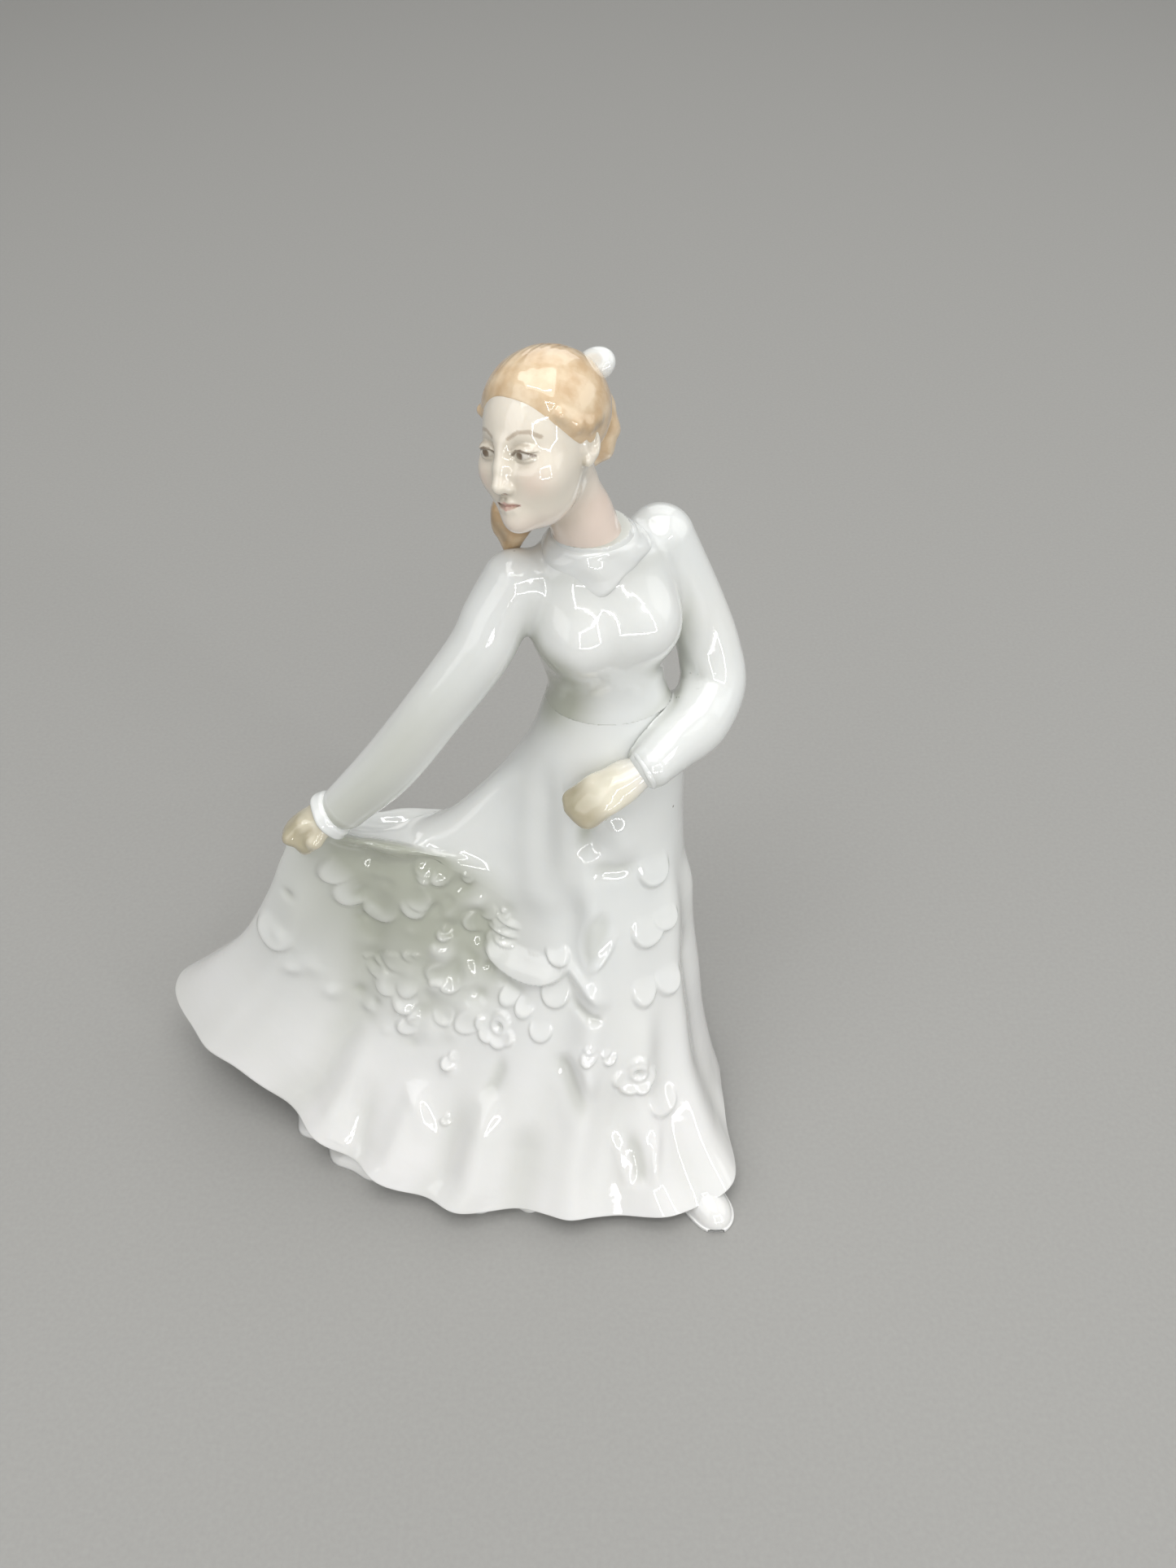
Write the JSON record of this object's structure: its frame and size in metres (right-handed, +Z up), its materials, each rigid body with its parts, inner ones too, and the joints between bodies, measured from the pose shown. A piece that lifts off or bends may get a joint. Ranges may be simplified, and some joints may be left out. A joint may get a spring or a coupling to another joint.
{
  "type": "porcelain figurine",
  "caption": "Glazed porcelain figurine of a lady who holds out one side of her long flowered skirt and looks down over her shoulder.",
  "frame": {"origin": "centre of the footprint, on the surface that the figurine stands on", "axes": "+Z up, -Y the way the body faces, +X towards the figure's left side"},
  "size_m": [0.1126, 0.0742, 0.1482],
  "materials": {
    "dress": "clear high-gloss glaze over bluish-white porcelain",
    "skin": "glossy, hand-painted with pale ivory and pink",
    "hair": "glossy, golden brown brushed over white porcelain",
    "hands": "glossy, pale cream",
    "biscuit": "unglazed biscuit porcelain, matte"
  },
  "bodies": {
    "root": {"skirt": "dress", "petticoat": "dress", "base_plate": "biscuit", "bodice": "dress", "collar": "dress", "head": "skin", "hair": "hair", "hair_bun": "hair", "hair_lock": "hair", "hair_bow": "dress", "right_sleeve": "dress", "right_cuff": "dress", "right_hand": "hands", "left_sleeve": "dress", "left_cuff": "dress", "left_hand": "hands", "shoe": "dress"}
  },
  "joints": []
}
